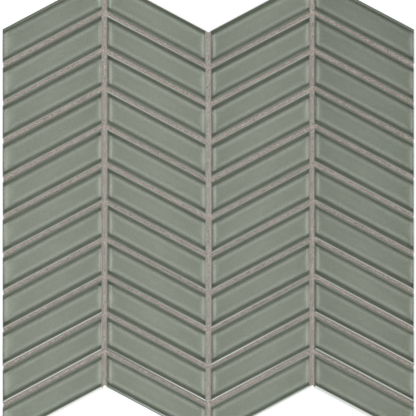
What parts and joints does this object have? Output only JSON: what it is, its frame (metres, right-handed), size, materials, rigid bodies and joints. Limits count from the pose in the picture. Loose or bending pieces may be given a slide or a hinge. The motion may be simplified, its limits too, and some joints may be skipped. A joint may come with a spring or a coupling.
{
  "type": "glass chevron mosaic tile sheet",
  "caption": "Sheet of grey-green glass tiles laid in a chevron, with zigzag top and bottom edges, grouted joints and a mesh backing, for facing a wall.",
  "frame": {"origin": "centre of the sheet's outline, on the plane that the mesh backing lies on", "axes": "+X across the columns to the right, +Y up the columns to the upper zigzag edge, +Z out of the glass face"},
  "size_m": [0.3022, 0.3409, 0.0085],
  "materials": {
    "glass": "polished clear glass over a grey-green fired back, rounded edges",
    "grout": "sanded cement grout, matt",
    "mesh": "white glass-fibre yarn"
  },
  "bodies": {
    "root": {"glass_tile_c1_r01": "glass", "glass_tile_c1_r02": "glass", "glass_tile_c1_r03": "glass", "glass_tile_c1_r04": "glass", "glass_tile_c1_r05": "glass", "glass_tile_c1_r06": "glass", "glass_tile_c1_r07": "glass", "glass_tile_c1_r08": "glass", "glass_tile_c1_r09": "glass", "glass_tile_c1_r10": "glass", "glass_tile_c1_r11": "glass", "glass_tile_c2_r01": "glass", "glass_tile_c2_r02": "glass", "glass_tile_c2_r03": "glass", "glass_tile_c2_r04": "glass", "glass_tile_c2_r05": "glass", "glass_tile_c2_r06": "glass", "glass_tile_c2_r07": "glass", "glass_tile_c2_r08": "glass", "glass_tile_c2_r09": "glass", "glass_tile_c2_r10": "glass", "glass_tile_c2_r11": "glass", "glass_tile_c3_r01": "glass", "glass_tile_c3_r02": "glass", "glass_tile_c3_r03": "glass", "glass_tile_c3_r04": "glass", "glass_tile_c3_r05": "glass", "glass_tile_c3_r06": "glass", "glass_tile_c3_r07": "glass", "glass_tile_c3_r08": "glass", "glass_tile_c3_r09": "glass", "glass_tile_c3_r10": "glass", "glass_tile_c3_r11": "glass", "glass_tile_c4_r01": "glass", "glass_tile_c4_r02": "glass", "glass_tile_c4_r03": "glass", "glass_tile_c4_r04": "glass", "glass_tile_c4_r05": "glass", "glass_tile_c4_r06": "glass", "glass_tile_c4_r07": "glass", "glass_tile_c4_r08": "glass", "glass_tile_c4_r09": "glass", "glass_tile_c4_r10": "glass", "glass_tile_c4_r11": "glass", "grout": "grout", "mesh_warp": "mesh", "mesh_weft": "mesh"}
  },
  "joints": []
}
